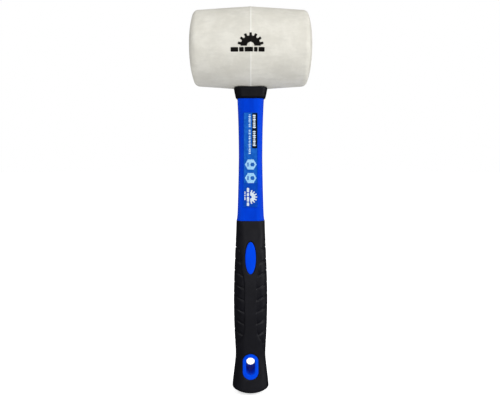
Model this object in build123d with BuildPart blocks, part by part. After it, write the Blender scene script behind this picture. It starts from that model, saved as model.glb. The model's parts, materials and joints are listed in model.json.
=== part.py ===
from build123d import *

import os

# Rubber mallet: a white rubber barrel head bonded to a jacketed fibreglass handle with a soft grip.
#
# Frame, in millimetres: the origin is under the handle's axis, level with the lowest point of the
# butt. +Z runs up the handle to the head, X is the striking direction and -Y is the front, which
# carries the label. Nothing moves, so every piece belongs to one rigid body.

# ------------------------------------------------------------------ head
HEAD_RADIUS = 34.2  # in the middle, where the two cones meet
HEAD_END_RADIUS = 30.8  # where each cone would meet the plane of its face
HEAD_HALF_LENGTH = 50.8
HEAD_Z = 299.15  # height of the head's axis
FACE_FLAT_RADIUS = 9.0  # the flat in the middle of each crowned face
FACE_FALL = 4.2  # how far the crown of a face falls back by the time it meets the cone
RIM_RADIUS = 5.0
SEAM_HEIGHT = 0.25  # flash left by the two halves of the mould
SEAM_WIDTH = 1.1

# ------------------------------------------------------------------ printed mark on the head
PRINT_THICKNESS = 0.12
GEAR_BASE_Z = HEAD_Z - 3.85
GEAR_RADIUS = 7.9
TOOTH_COUNT = 7
TOOTH_LENGTH = 2.4
TOOTH_WIDTH = 2.2
GEAR_HUB_RADIUS = 2.9
MARK_BAR_SIZE = (26.8, 3.4)
MARK_BAR_CENTRE = (-2.4, HEAD_Z - 6.5)

# ------------------------------------------------------------------ handle sections
# Each station is (height, width along X, depth along Y, corner radius).
NECK_Z = 257.2
SHOULDER_Z = 153.6
SHAFT_STATIONS = [
    (SHOULDER_Z, 24.0, 20.2, 6.6),
    (158.0, 22.9, 19.0, 6.2),
    (172.0, 21.8, 18.0, 5.8),
    (190.0, 20.8, 17.3, 5.6),
    (209.0, 20.1, 16.8, 5.4),
    (226.0, 20.4, 17.0, 5.4),
    (242.0, 21.2, 17.5, 5.4),
    (NECK_Z, 22.5, 18.2, 5.6),
]
GRIP_STATIONS = [
    (-3.0, 32.8, 25.8, 10.0),
    (7.0, 31.9, 25.2, 10.0),
    (20.0, 29.1, 23.6, 9.6),
    (35.5, 26.4, 22.2, 9.2),
    (53.0, 28.0, 23.2, 9.8),
    (70.0, 29.1, 23.8, 10.1),
    (84.0, 29.4, 24.0, 10.2),
    (96.0, 29.1, 23.8, 10.1),
    (108.0, 28.4, 23.3, 9.8),
    (119.0, 27.4, 22.7, 9.4),
    (130.0, 26.4, 21.9, 8.8),
    (142.0, 25.2, 21.0, 7.8),
    (SHOULDER_Z, 24.4, 20.2, 6.6),
]
CORE_STATIONS = [
    (4.0, 23.0, 16.0, 6.0),
    (35.5, 19.4, 15.2, 6.0),
    (84.0, 21.0, 16.2, 6.4),
    (SHOULDER_Z, 18.6, 14.8, 5.2),
]
BUTT_DOME_RADIUS = 27.5

# ------------------------------------------------------------------ eye of the head
EYE_TOP_Z = HEAD_Z + HEAD_RADIUS + 2.0  # the cut for the eye ends clear above the head
EYE_STATIONS = [
    (NECK_Z, 20.0, 15.8, 4.8),
    (EYE_TOP_Z, 21.4, 17.2, 5.4),
]
TENON_TOP_Z = 328.6
RESIN_TOP_Z = 331.0
BOND_GAP = 0.8  # resin between the tenon and the rubber
RIB_HEIGHTS = [277.0, 289.0, 301.0, 313.0]
RIB_THICKNESS = 3.0
RIB_PROUD = 0.45
ROD_RADIUS = 5.5
ROD_BOTTOM_Z = 42.0

# ------------------------------------------------------------------ neck collar
COLLAR_STATIONS = [
    (NECK_Z, 23.8, 19.4, 5.8),
    (NECK_Z + 1.4, 25.7, 21.0, 6.4),
    (270.5, 30.4, 24.2, 7.4),
]

# ------------------------------------------------------------------ label panel
PANEL_SIZE = (13.0, 81.0)
PANEL_Z = 205.5
PANEL_PROUD = 0.5
LABEL_SIZE = (11.8, 79.6)
LABEL_CORNER_RADIUS = 0.8
LABEL_THICKNESS = 0.15

# ------------------------------------------------------------------ grip details
INLAY_SIZE = (9.2, 27.8)
INLAY_Z = 121.9
INLAY_PROUD = 0.5
TREAD_TOP_Z = 130.35  # where the highest groove meets the side of the grip
TREAD_PITCH = 10.4
TREAD_COUNT = 10
TREAD_WIDTH = 1.7
TREAD_DEPTH = 1.0
TREAD_SLOPE = 0.45  # the fall of a groove for each millimetre towards the middle
TREAD_SIDE_X = 14.0  # about half the grip's width, where the heights of the grooves are taken
SPINE_HALF_WIDTH = 4.9  # the smooth strip down the front and the back
INLAY_BORDER = 3.0  # the smooth border round each inlay
EYELET_Z = 26.15
HANG_HOLE_Z = 26.8
HANG_HOLE_SIZE = (7.8, 15.1)
EYELET_BODY_SIZE = (10.8, 19.2)
EYELET_FLANGE_SIZE = (13.8, 22.7)
EYELET_PROUD = 0.6
EYELET_SINK = 1.3  # how deep the flange is let into the grip
REACH = 40.0  # longer than any cut has to be

os.makedirs("parts", exist_ok=True)


def loft_form(stations, grow=0.0, ruled=False):
    """A run of the handle through its rounded rectangular sections, grown evenly all round."""
    with BuildPart() as form:
        for height, width, depth, corner in stations:
            with BuildSketch(Plane.XY.offset(height)):
                RectangleRounded(width + 2 * grow, depth + 2 * grow, corner + grow)
        loft(ruled=ruled)
    return form.part


def grip_form(grow=0.0):
    """The outside of the grip with its domed butt, grown evenly all round."""
    with BuildPart() as dome:
        with Locations((0, 0, BUTT_DOME_RADIUS)):
            Sphere(BUTT_DOME_RADIUS + grow)
            Cylinder(BUTT_DOME_RADIUS + grow, SHOULDER_Z, align=(Align.CENTER, Align.CENTER, Align.MIN))
    with BuildPart() as form:
        add(loft_form(GRIP_STATIONS, grow))
        add(dome.part, mode=Mode.INTERSECT)
    return form.part


def head_form(grow=0.0):
    """The outside of the head: two cones back to back, with crowned faces and the mould seam."""
    corner_x = HEAD_HALF_LENGTH - FACE_FALL
    taper = (HEAD_RADIUS - HEAD_END_RADIUS) / HEAD_HALF_LENGTH
    corner_r = HEAD_RADIUS - taper * corner_x + grow
    with BuildPart() as form:
        with BuildSketch(Plane.XZ) as profile:
            with BuildLine():
                for side in (-1, 1):
                    flat_edge = (side * HEAD_HALF_LENGTH, FACE_FLAT_RADIUS)
                    corner = (side * corner_x, corner_r)
                    Line((side * HEAD_HALF_LENGTH, 0), flat_edge)
                    TangentArc(flat_edge, corner, tangent=(0, 1))
                    Line(corner, (side * SEAM_WIDTH / 2, HEAD_RADIUS + grow))
                    Line((side * SEAM_WIDTH / 2, HEAD_RADIUS + grow), (0, HEAD_RADIUS + SEAM_HEIGHT + grow))
                Line((-HEAD_HALF_LENGTH, 0), (HEAD_HALF_LENGTH, 0))
            make_face()
            for side in (-1, 1):
                fillet(profile.vertices().sort_by_distance((side * corner_x, corner_r))[0], RIM_RADIUS)
        revolve(axis=Axis.X)
    return form.part.moved(Location((0, 0, HEAD_Z)))


def front_column(size, height, corner):
    """A rounded rectangle of the given size, extruded through the handle from front to back."""
    with BuildPart() as column:
        with BuildSketch(Plane.XZ.offset(-REACH)):
            with Locations((0, height)):
                RectangleRounded(size[0], size[1], corner)
        extrude(amount=2 * REACH)
    return column.part


def slot_column(size, height=EYELET_Z):
    """An upright slot with round ends, extruded through the handle from front to back."""
    with BuildPart() as column:
        with BuildSketch(Plane.XZ.offset(-REACH)):
            with Locations((0, height)):
                SlotOverall(size[1], size[0], rotation=90)
        extrude(amount=2 * REACH)
    return column.part


def inlay_column(border=0.0):
    """The oval of the thumb inlay, extruded from front to back."""
    with BuildPart() as column:
        with BuildSketch(Plane.XZ.offset(-REACH)):
            with Locations((0, INLAY_Z)):
                Ellipse(INLAY_SIZE[0] / 2 + border, INLAY_SIZE[1] / 2 + border)
        extrude(amount=2 * REACH)
    return column.part


def finish_piece(piece, name):
    """Label a finished piece and write its STEP file."""
    piece.label = name
    export_step(piece, "parts/" + name + ".step")


head_blank = head_form()
core_blank = loft_form(CORE_STATIONS)
grip_blank = grip_form()
flange_seat = grip_form(-EYELET_SINK)

# ------------------------------------------------------------------ fibreglass core
with BuildPart() as fibreglass_core:
    with BuildSketch(Plane.XY.offset(ROD_BOTTOM_Z)):
        Circle(ROD_RADIUS)
    extrude(amount=TENON_TOP_Z - ROD_BOTTOM_Z)

finish_piece(fibreglass_core.part, "fibreglass_core")

# ------------------------------------------------------------------ handle jacket
with BuildPart() as tenon_ribs:
    with Locations(*[(0, 0, height) for height in RIB_HEIGHTS]):
        Box(REACH, REACH, RIB_THICKNESS)
    add(loft_form(EYE_STATIONS, RIB_PROUD), mode=Mode.INTERSECT)

with BuildPart() as tenon:
    add(loft_form(EYE_STATIONS))
    split(bisect_by=Plane.XY.offset(TENON_TOP_Z), keep=Keep.BOTTOM)
    add(tenon_ribs.part)

with BuildPart() as raised_panels:
    add(loft_form(SHAFT_STATIONS, PANEL_PROUD))
    add(front_column(PANEL_SIZE, PANEL_Z, LABEL_CORNER_RADIUS), mode=Mode.INTERSECT)

with BuildPart() as handle_jacket:
    add(loft_form(SHAFT_STATIONS))
    add(raised_panels.part)
    add(tenon.part)
    add(core_blank)
    add(slot_column(EYELET_BODY_SIZE), mode=Mode.SUBTRACT)
    add(fibreglass_core.part, mode=Mode.SUBTRACT)

finish_piece(handle_jacket.part, "handle_jacket")

# ------------------------------------------------------------------ rubber head
with BuildPart() as rubber_head:
    add(head_blank)
    add(loft_form(EYE_STATIONS, BOND_GAP), mode=Mode.SUBTRACT)

finish_piece(rubber_head.part, "rubber_head")

# ------------------------------------------------------------------ resin in the eye
with BuildPart() as eye_epoxy:
    add(loft_form(EYE_STATIONS, BOND_GAP))
    add(head_blank, mode=Mode.INTERSECT)
    split(bisect_by=Plane.XY.offset(RESIN_TOP_Z), keep=Keep.BOTTOM)
    add(tenon.part, mode=Mode.SUBTRACT)
    add(fibreglass_core.part, mode=Mode.SUBTRACT)

finish_piece(eye_epoxy.part, "eye_epoxy")

# ------------------------------------------------------------------ neck collar, under the head
with BuildPart() as neck_collar:
    add(loft_form(COLLAR_STATIONS, ruled=True))
    add(head_blank, mode=Mode.SUBTRACT)
    add(tenon.part, mode=Mode.SUBTRACT)

finish_piece(neck_collar.part, "neck_collar")

# ------------------------------------------------------------------ soft grip
groove_outer_x = GRIP_STATIONS[0][1] / 2
groove_rise = TREAD_SLOPE * (groove_outer_x - TREAD_SIDE_X)
groove_fall = TREAD_SLOPE * (TREAD_SIDE_X - SPINE_HALF_WIDTH)

with BuildPart() as tread_grooves:
    with BuildSketch(Plane.XZ.offset(-REACH)):
        for groove in range(TREAD_COUNT):
            side_z = TREAD_TOP_Z - groove * TREAD_PITCH
            for side in (-1, 1):
                with BuildLine():
                    Polyline(
                        (side * groove_outer_x, side_z + groove_rise + TREAD_WIDTH / 2),
                        (side * groove_outer_x, side_z + groove_rise - TREAD_WIDTH / 2),
                        (side * SPINE_HALF_WIDTH, side_z - groove_fall - TREAD_WIDTH / 2),
                        (side * SPINE_HALF_WIDTH, side_z - groove_fall + TREAD_WIDTH / 2),
                        close=True,
                    )
                make_face()
    extrude(amount=2 * REACH)
    add(inlay_column(INLAY_BORDER), mode=Mode.SUBTRACT)
    add(grip_form(-TREAD_DEPTH), mode=Mode.SUBTRACT)

with BuildPart() as eyelet_pocket:
    add(slot_column(EYELET_FLANGE_SIZE))
    add(flange_seat, mode=Mode.SUBTRACT)
    add(slot_column(EYELET_BODY_SIZE))

with BuildPart() as grip_sleeve:
    add(grip_blank)
    add(core_blank, mode=Mode.SUBTRACT)
    add(tread_grooves.part, mode=Mode.SUBTRACT)
    add(inlay_column(), mode=Mode.SUBTRACT)
    add(eyelet_pocket.part, mode=Mode.SUBTRACT)

finish_piece(grip_sleeve.part, "grip_sleeve")

# ------------------------------------------------------------------ hang eyelet
with BuildPart() as hang_eyelet:
    add(eyelet_pocket.part)
    add(grip_form(EYELET_PROUD), mode=Mode.INTERSECT)
    add(slot_column(HANG_HOLE_SIZE, HANG_HOLE_Z), mode=Mode.SUBTRACT)

finish_piece(hang_eyelet.part, "hang_eyelet")

# ------------------------------------------------------------------ thumb inlays
with BuildPart() as both_inlays:
    add(grip_form(INLAY_PROUD))
    add(inlay_column(), mode=Mode.INTERSECT)
    add(core_blank, mode=Mode.SUBTRACT)

inlays = both_inlays.solids().sort_by(Axis.Y)
finish_piece(inlays[0], "thumb_inlay_front")
finish_piece(inlays[-1], "thumb_inlay_back")

# ------------------------------------------------------------------ label on the front panel
with BuildPart() as label_front:
    add(loft_form(SHAFT_STATIONS, PANEL_PROUD + LABEL_THICKNESS))
    add(front_column(LABEL_SIZE, PANEL_Z, LABEL_CORNER_RADIUS), mode=Mode.INTERSECT)
    add(loft_form(SHAFT_STATIONS, PANEL_PROUD), mode=Mode.SUBTRACT)
    split(bisect_by=Plane.XZ, keep=Keep.TOP)

finish_piece(label_front.part, "label_front")

# ------------------------------------------------------------------ printed mark on the head
with BuildPart() as head_mark:
    with BuildSketch(Plane.XZ):
        with Locations((0, GEAR_BASE_Z)):
            Circle(GEAR_RADIUS)
            with PolarLocations(GEAR_RADIUS, TOOTH_COUNT, start_angle=90 / TOOTH_COUNT, angular_range=180):
                Rectangle(2 * TOOTH_LENGTH, TOOTH_WIDTH)
            Circle(GEAR_HUB_RADIUS, mode=Mode.SUBTRACT)
        with Locations((0, GEAR_BASE_Z)):
            Rectangle(REACH, REACH, align=(Align.CENTER, Align.MAX), mode=Mode.SUBTRACT)
        with Locations(MARK_BAR_CENTRE):
            RectangleRounded(MARK_BAR_SIZE[0], MARK_BAR_SIZE[1], MARK_BAR_SIZE[1] / 4)
    extrude(amount=REACH)
    add(head_form(PRINT_THICKNESS), mode=Mode.INTERSECT)
    add(head_blank, mode=Mode.SUBTRACT)

finish_piece(head_mark.part, "head_mark")
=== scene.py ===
import json
import math

import bmesh
import bpy
import numpy as np
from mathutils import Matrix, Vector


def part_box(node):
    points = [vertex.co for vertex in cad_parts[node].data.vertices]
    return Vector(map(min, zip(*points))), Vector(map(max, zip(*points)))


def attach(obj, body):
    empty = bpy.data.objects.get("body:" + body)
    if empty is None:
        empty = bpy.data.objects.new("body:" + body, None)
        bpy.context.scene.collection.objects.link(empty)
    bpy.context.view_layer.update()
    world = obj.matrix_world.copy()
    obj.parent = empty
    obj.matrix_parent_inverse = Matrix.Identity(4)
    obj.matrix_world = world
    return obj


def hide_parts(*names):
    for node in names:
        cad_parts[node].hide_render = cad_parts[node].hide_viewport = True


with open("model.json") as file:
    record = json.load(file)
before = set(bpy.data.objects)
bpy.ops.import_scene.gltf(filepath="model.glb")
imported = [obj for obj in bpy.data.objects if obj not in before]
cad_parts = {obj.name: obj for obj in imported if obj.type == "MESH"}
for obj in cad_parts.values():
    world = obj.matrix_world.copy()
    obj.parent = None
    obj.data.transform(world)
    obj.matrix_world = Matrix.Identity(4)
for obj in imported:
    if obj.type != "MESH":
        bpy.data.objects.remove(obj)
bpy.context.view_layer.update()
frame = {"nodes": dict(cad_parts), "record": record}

# Rubber mallet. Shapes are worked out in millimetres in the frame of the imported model, and turned
# into metres when a mesh is made. +Z runs up the handle, X is the striking direction, -Y the front.

MM = 0.001

# ---------------- places, from the frame


def node_box(node):
    """The lowest and highest corners of a CAD node, in millimetres."""
    low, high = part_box(node)
    return np.array(low) / MM, np.array(high) / MM


face_mount = next(m for m in frame["record"]["mounts"] if m["name"] == "strike_face_right")
HEAD_HALF_LENGTH = face_mount["pos_m"][0] / MM
HEAD_Z = face_mount["pos_m"][2] / MM
NECK_Z = node_box("neck_collar")[0][2]
SHOULDER_Z = node_box("grip_sleeve")[1][2]
CORE_BOTTOM_Z = node_box("handle_jacket")[0][2]
ROD_BOTTOM_Z = node_box("fibreglass_core")[0][2]
TENON_TOP_Z = node_box("fibreglass_core")[1][2]
ROD_RADIUS = node_box("fibreglass_core")[1][0]
RESIN_TOP_Z = node_box("eye_epoxy")[1][2]
RESIN_BOTTOM_Z = node_box("eye_epoxy")[0][2]
inlay_low, inlay_high = node_box("thumb_inlay_front")
INLAY_SIZE = (inlay_high - inlay_low)[[0, 2]]
INLAY_Z = (inlay_high + inlay_low)[2] / 2
eyelet_low, eyelet_high = node_box("hang_eyelet")
EYELET_Z = (eyelet_high + eyelet_low)[2] / 2
label_low, label_high = node_box("label_front")
LABEL_Z = (label_high + label_low)[2] / 2
LABEL_SIZE = (label_high - label_low)[[0, 2]]

# ---------------- dimensions
#
# They are the CAD's, apart from the seam, which is a little lower and softer here, the collar's
# rounded top, the tread's curved inner edge and the draft of the hang hole.

HEAD_RADIUS = 34.2  # in the middle, where the two cones meet
HEAD_END_RADIUS = 30.8  # where each cone would meet the plane of its face
FACE_FLAT_RADIUS = 9.0
FACE_FALL = 4.2  # how far the crown of a face falls back by the time it meets the cone
RIM_RADIUS = 5.0
SEAM_HEIGHT = 0.22  # flash left by the two halves of the mould
SEAM_SPREAD = 0.42  # where the flash has fallen to about a third of its height

# Each station is (height, width along X, depth along Y, corner radius).
SHAFT_STATIONS = [
    (SHOULDER_Z, 24.0, 20.2, 6.6),
    (158.0, 22.9, 19.0, 6.2),
    (172.0, 21.8, 18.0, 5.8),
    (190.0, 20.8, 17.3, 5.6),
    (209.0, 20.1, 16.8, 5.4),
    (226.0, 20.4, 17.0, 5.4),
    (242.0, 21.2, 17.5, 5.4),
    (NECK_Z, 22.5, 18.2, 5.6),
]
GRIP_STATIONS = [
    (-3.0, 32.8, 25.8, 10.0),
    (7.0, 31.9, 25.2, 10.0),
    (20.0, 29.1, 23.6, 9.6),
    (35.5, 26.4, 22.2, 9.2),
    (53.0, 28.0, 23.2, 9.8),
    (70.0, 29.1, 23.8, 10.1),
    (84.0, 29.4, 24.0, 10.2),
    (96.0, 29.1, 23.8, 10.1),
    (108.0, 28.4, 23.3, 9.8),
    (119.0, 27.4, 22.7, 9.4),
    (130.0, 26.4, 21.9, 8.8),
    (142.0, 25.2, 21.0, 7.8),
    (SHOULDER_Z, 24.4, 20.2, 6.6),
]
CORE_STATIONS = [
    (CORE_BOTTOM_Z, 23.0, 16.0, 6.0),
    (35.5, 19.4, 15.2, 6.0),
    (84.0, 21.0, 16.2, 6.4),
    (SHOULDER_Z, 18.6, 14.8, 5.2),
]
EYE_STATIONS = [
    (NECK_Z, 20.0, 15.8, 4.8),
    (HEAD_Z + HEAD_RADIUS + 2.0, 21.4, 17.2, 5.4),
]
COLLAR_STATIONS = [
    (NECK_Z, 23.8, 19.4, 5.8),
    (NECK_Z + 1.4, 25.7, 21.0, 6.4),
    (270.5, 30.4, 24.2, 7.4),
]
COLLAR_TOP_RADIUS = 1.3
BUTT_DOME_RADIUS = 27.5
BOND_GAP = 0.8
RIB_HEIGHTS = (277.0, 289.0, 301.0, 313.0)
RIB_HALF_THICKNESS = 1.5
RIB_PROUD = 0.45
PANEL_SIZE = (13.0, 81.0)
PANEL_PROUD = 0.5
INLAY_PROUD = 0.5
TREAD_TOP_Z = 130.35
TREAD_PITCH = 10.4
TREAD_COUNT = 10
TREAD_SLOPE = 0.45
TREAD_SIDE_X = 14.0
TREAD_HALF_WIDTH = 0.85
TREAD_DEPTH = 1.0
# The inner edge of the tread: the distance from the middle at each height.
TREAD_EDGE = [
    (30.0, 15.5),
    (34.0, 14.2),
    (40.0, 12.5),
    (47.0, 9.8),
    (54.0, 6.0),
    (60.0, 4.8),
    (98.0, 4.8),
    (106.0, 6.0),
    (114.0, 7.5),
    (122.0, 8.0),
    (128.0, 8.8),
    (133.0, 10.8),
    (137.0, 13.5),
]
HANG_HOLE_RADIUS = 3.9
HANG_HOLE_HALF_STRAIGHT = 3.65
HANG_HOLE_RISE = 0.65  # how much higher the hole's middle is than the eyelet's
HANG_HOLE_DRAFT = 0.4  # how much narrower the hole is half way through
EYELET_BODY_RADIUS = 5.4
EYELET_BODY_HALF_STRAIGHT = 4.2
EYELET_FLANGE_RADIUS = 6.9
EYELET_FLANGE_HALF_STRAIGHT = 4.45
EYELET_PROUD = 0.6
EYELET_SINK = 1.3

# Small shapes that only the visual has.
HEAD_SWELL = 0.0022  # how far the barrel wanders from round, as a share of its radius
EYE_LIP_WIDTH = 1.6  # how far from the eye the head's top starts to round into it
EYE_LIP_FALL = 0.9
LIP_ROUND = 0.35  # from the collar's lip up to where its straight sides start
RESIN_DISH = 0.75  # how far the middle of the resin lies below its highest point
PAD_STEP = 0.5  # how far the tread's pads drop beside the spine
PAD_SCOOP = 0.8
SIDE_DEEPENING = 0.45  # how much deeper the grooves get towards the sides, as a share
SEAT_DEPTH = 1.5
SEAT_ROUND = 0.18

# The lengths of a quarter section's side, corner and front, which share out a mesh's columns.
EYE_QUARTER = (3.0, 8.0, 5.0)
COLLAR_QUARTER = (4.0, 10.0, 6.0)
SHAFT_QUARTER = (3.2, 8.6, 4.8)
GRIP_QUARTER = (2.4, 15.0, 4.4)

# The mark on the head.
GEAR_BASE_Z = HEAD_Z - 3.85
GEAR_ROOT_RADIUS = 7.9
GEAR_TIP_RADIUS = 10.3
GEAR_TEETH = 7
GEAR_HUB_RADIUS = 2.9
MARK_BAR_Z = HEAD_Z - 6.5
MARK_BAR_HEIGHT = 3.4
MARK_BAR_LENGTHS = (6.0, 3.6, 6.6, 2.8, 4.8)
MARK_BAR_GAP = 0.75
SEAM_CUTS = (-0.75, -0.5, -0.3, -0.15, 0.0, 0.15, 0.3, 0.5, 0.75)

# Heights on the label.
BLACK_BAR_BOTTOM_Z = 215.3
ICON_HEIGHTS = (201.7, 190.3)
PALE_BOTTOM_Z = LABEL_Z - 19.5
EMBLEM_BARS_TOP_Z = 182.0
SMALL_BARS_TOP_Z = 179.0
EMBLEM_Z = 174.2

# ---------------- curves and sections


def smoothstep(low, high, value):
    """0 below low, 1 above high, and a smooth rise between."""
    t = np.clip((value - low) / (high - low), 0.0, 1.0)
    return t * t * (3.0 - 2.0 * t)


def smooth_curve(at, knots, values):
    """A smooth curve through the knots that never overshoots them."""
    at = np.clip(np.asarray(at, float), knots[0], knots[-1])
    knots = np.asarray(knots, float)
    values = np.asarray(values, float)
    steps = np.diff(knots)
    slopes = np.diff(values) / steps
    tangents = np.concatenate([slopes[:1], np.zeros(len(slopes) - 1), slopes[-1:]])
    for i in range(1, len(slopes)):
        if slopes[i - 1] * slopes[i] > 0:
            before = 2 * steps[i] + steps[i - 1]
            after = steps[i] + 2 * steps[i - 1]
            tangents[i] = (before + after) / (before / slopes[i - 1] + after / slopes[i])
    span = np.clip(np.searchsorted(knots, at, side="right") - 1, 0, len(steps) - 1)
    t = (at - knots[span]) / steps[span]
    start = values[span] * (1 + 2 * t) * (1 - t) ** 2 + tangents[span] * steps[span] * t * (1 - t) ** 2
    end = values[span + 1] * t * t * (3 - 2 * t) + tangents[span + 1] * steps[span] * t * t * (t - 1)
    return start + end


def section_at(stations, height, straight=False):
    """Half width, half depth and corner radius of a run of the handle at the given heights."""
    knots = [s[0] for s in stations]
    shape = []
    for column, scale in ((1, 0.5), (2, 0.5), (3, 1.0)):
        values = [s[column] * scale for s in stations]
        if straight:
            shape.append(np.interp(height, knots, values))
        else:
            shape.append(smooth_curve(height, knots, values))
    return shape


def section_columns(count, side, corner, front):
    """How the columns of a mesh share out a rounded rectangle, by the lengths of a quarter's parts.

    Gives each column's factors for the corner's centre, and its outward normal.
    """
    total = side + corner + front
    turn = np.arange(count) * 4.0 / count
    quarter = np.floor(turn).astype(int)
    part = np.where(quarter % 2 == 0, turn - quarter, 1 - (turn - quarter)) * total
    sign_x = np.where((quarter == 0) | (quarter == 3), 1.0, -1.0)
    sign_y = np.where(quarter < 2, 1.0, -1.0)
    angle = np.clip((part - side) / corner, 0, 1) * math.pi / 2
    centre_x = sign_x * np.clip((total - part) / front, 0, 1)
    centre_y = sign_y * np.clip(part / side, 0, 1)
    return centre_x, centre_y, sign_x * np.cos(angle), sign_y * np.sin(angle)


def section_points(columns, shape, grow=0.0):
    """X and Y of every column at every ring, for the half sizes and corner radii of the rings."""
    centre_x, centre_y, normal_x, normal_y = columns
    width, depth, corner = [np.reshape(s, (-1, 1)) for s in shape]
    x = centre_x * (width - corner) + (corner + grow) * normal_x
    y = centre_y * (depth - corner) + (corner + grow) * normal_y
    return x, y


def front_depth(stations, x, z):
    """How far the front surface of the handle stands from the middle at (x, z)."""
    width, depth, corner = section_at(stations, z)
    over = np.clip((np.abs(x) - (width - corner)) / corner, 0, 0.999)
    return depth - corner * (1 - np.sqrt(1 - over * over))


def rounded_box_distance(x, z, half_x, half_z, radius):
    """Signed distance from the edge of a rounded rectangle."""
    over_x = np.abs(x) - half_x + radius
    over_z = np.abs(z) - half_z + radius
    outside = np.hypot(np.maximum(over_x, 0), np.maximum(over_z, 0))
    return outside + np.minimum(np.maximum(over_x, over_z), 0) - radius


def slot_distance(x, z, radius, half_straight):
    """Signed distance from the edge of an upright slot with round ends."""
    return np.hypot(x, np.maximum(np.abs(z) - half_straight, 0)) - radius


def oval_distance(x, z, half_x, half_z):
    """Signed distance from the edge of an oval, true near that edge."""
    reach = np.hypot(x / half_x, z / half_z) + 1e-9
    slope = np.hypot(x / half_x**2, z / half_z**2) / reach + 1e-9
    return (reach - 1) / slope


def full_turn(count):
    """Evenly spaced angles round a full turn."""
    return np.linspace(0, 2 * math.pi, count, endpoint=False)


def wander(x, y, z, size, seed):
    """A slow, smooth wander between about -1 and 1, the same on every run."""
    total = 0
    draw = np.random.default_rng(seed)
    for _ in range(5):
        direction = draw.normal(size=3)
        direction /= np.linalg.norm(direction) * size
        phase = draw.uniform(0, 2 * math.pi)
        total = total + np.sin(x * direction[0] + y * direction[1] + z * direction[2] + phase)
    return total / 3


# ---------------- meshes


def new_object(name, data):
    """An object in the scene, made from its data."""
    thing = bpy.data.objects.new(name, data)
    bpy.context.scene.collection.objects.link(thing)
    return thing


def new_piece(name, mesh, material, slot, *nodes, sharp=38):
    """A finished mesh as a piece of the object: shaded, placed, and standing for its CAD nodes."""
    bm = bmesh.new()
    bm.from_mesh(mesh)
    bmesh.ops.remove_doubles(bm, verts=bm.verts, dist=2e-6)
    bmesh.ops.recalc_face_normals(bm, faces=bm.faces)
    for face in bm.faces:
        face.smooth = True
    for edge in bm.edges:
        edge.smooth = len(edge.link_faces) == 2 and edge.calc_face_angle(0) < math.radians(sharp)
    bm.to_mesh(mesh)
    bm.free()
    piece = new_object(name, mesh)
    mesh.materials.clear()
    mesh.materials.append(material)
    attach(piece, "root")
    if nodes:
        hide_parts(*nodes)
    return piece


def grid_mesh(name, x, y, z, first_pole=None, last_pole=None, loop=False):
    """A closed mesh from rings of columns, closed at poles or, with loop, onto its first ring."""
    rings, columns = x.shape
    points = np.stack([x, y, z], -1).reshape(-1, 3)
    faces = []
    bands = rings if loop else rings - 1
    for ring in range(bands):
        here = ring * columns
        there = ((ring + 1) % rings) * columns
        for column in range(columns):
            beside = (column + 1) % columns
            faces.append((here + column, here + beside, there + beside, there + column))
    for pole, ring in ((first_pole, 0), (last_pole, rings - 1)):
        if pole is not None:
            points = np.vstack([points, pole])
            tip = len(points) - 1
            for column in range(columns):
                faces.append((ring * columns + (column + 1) % columns, ring * columns + column, tip))
    mesh = bpy.data.meshes.new(name)
    mesh.from_pydata((points * MM).tolist(), [], faces)
    return mesh


def cut(mesh, cutter):
    """The mesh with the cutter's volume taken out of it."""
    pair = []
    for part in (mesh, cutter):
        bm = bmesh.new()
        bm.from_mesh(part)
        bmesh.ops.recalc_face_normals(bm, faces=bm.faces)
        bm.to_mesh(part)
        bm.free()
        pair.append(new_object("cut", part))
    modifier = pair[0].modifiers.new("cut", "BOOLEAN")
    modifier.operation = "DIFFERENCE"
    modifier.solver = "EXACT"
    modifier.object = pair[1]
    bpy.context.view_layer.update()
    ready = pair[0].evaluated_get(bpy.context.evaluated_depsgraph_get())
    result = bpy.data.meshes.new_from_object(ready)
    for part in pair:
        bpy.data.objects.remove(part)
    return result


def rows(*spans):
    """Heights along a run of spans, each given as (from, to, step)."""
    parts = []
    for start, stop, step in spans:
        count = max(1, round(abs(stop - start) / step))
        parts.append(np.linspace(start, stop, count, endpoint=False))
    parts.append([spans[-1][1]])
    return np.concatenate(parts)


def plate(outline, surface, lift, thickness, spacing=2.0, extra=()):
    """A thin plate on the front of the object: an outline in (x, z), laid on a surface.

    It is cut at every spacing both ways, and at the extra places along X, so that it can bend.
    """
    bm = bmesh.new()
    bm.faces.new([bm.verts.new((px, 0, pz)) for px, pz in outline])
    low_x, low_z = np.min(outline, axis=0)
    high_x, high_z = np.max(outline, axis=0)
    for axis, low, high in ((0, low_x, high_x), (2, low_z, high_z)):
        normal = (1, 0, 0) if axis == 0 else (0, 0, 1)
        places = np.arange(low + spacing, high, spacing)
        if axis == 0:
            places = np.concatenate([places, extra])
        for place in places:
            bmesh.ops.bisect_plane(
                bm,
                geom=bm.verts[:] + bm.edges[:] + bm.faces[:],
                plane_co=[place * n for n in normal],
                plane_no=normal,
            )
    front = bm.verts[:]
    grown = bmesh.ops.extrude_face_region(bm, geom=bm.faces[:])["geom"]
    back = {v for v in grown if isinstance(v, bmesh.types.BMVert)}
    for vert in front + list(back):
        depth = float(surface(np.array(vert.co.x), np.array(vert.co.z)))
        vert.co.y = -(depth + lift - (thickness if vert in back else 0.0))
    for vert in bm.verts:
        vert.co *= MM
    mesh = bpy.data.meshes.new("plate")
    bm.to_mesh(mesh)
    bm.free()
    return mesh


def joined(meshes):
    """Several meshes as one."""
    bm = bmesh.new()
    for mesh in meshes:
        bm.from_mesh(mesh)
        bpy.data.meshes.remove(mesh)
    result = bpy.data.meshes.new("joined")
    bm.to_mesh(result)
    bm.free()
    return result


# ---------------- outlines for prints


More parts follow.
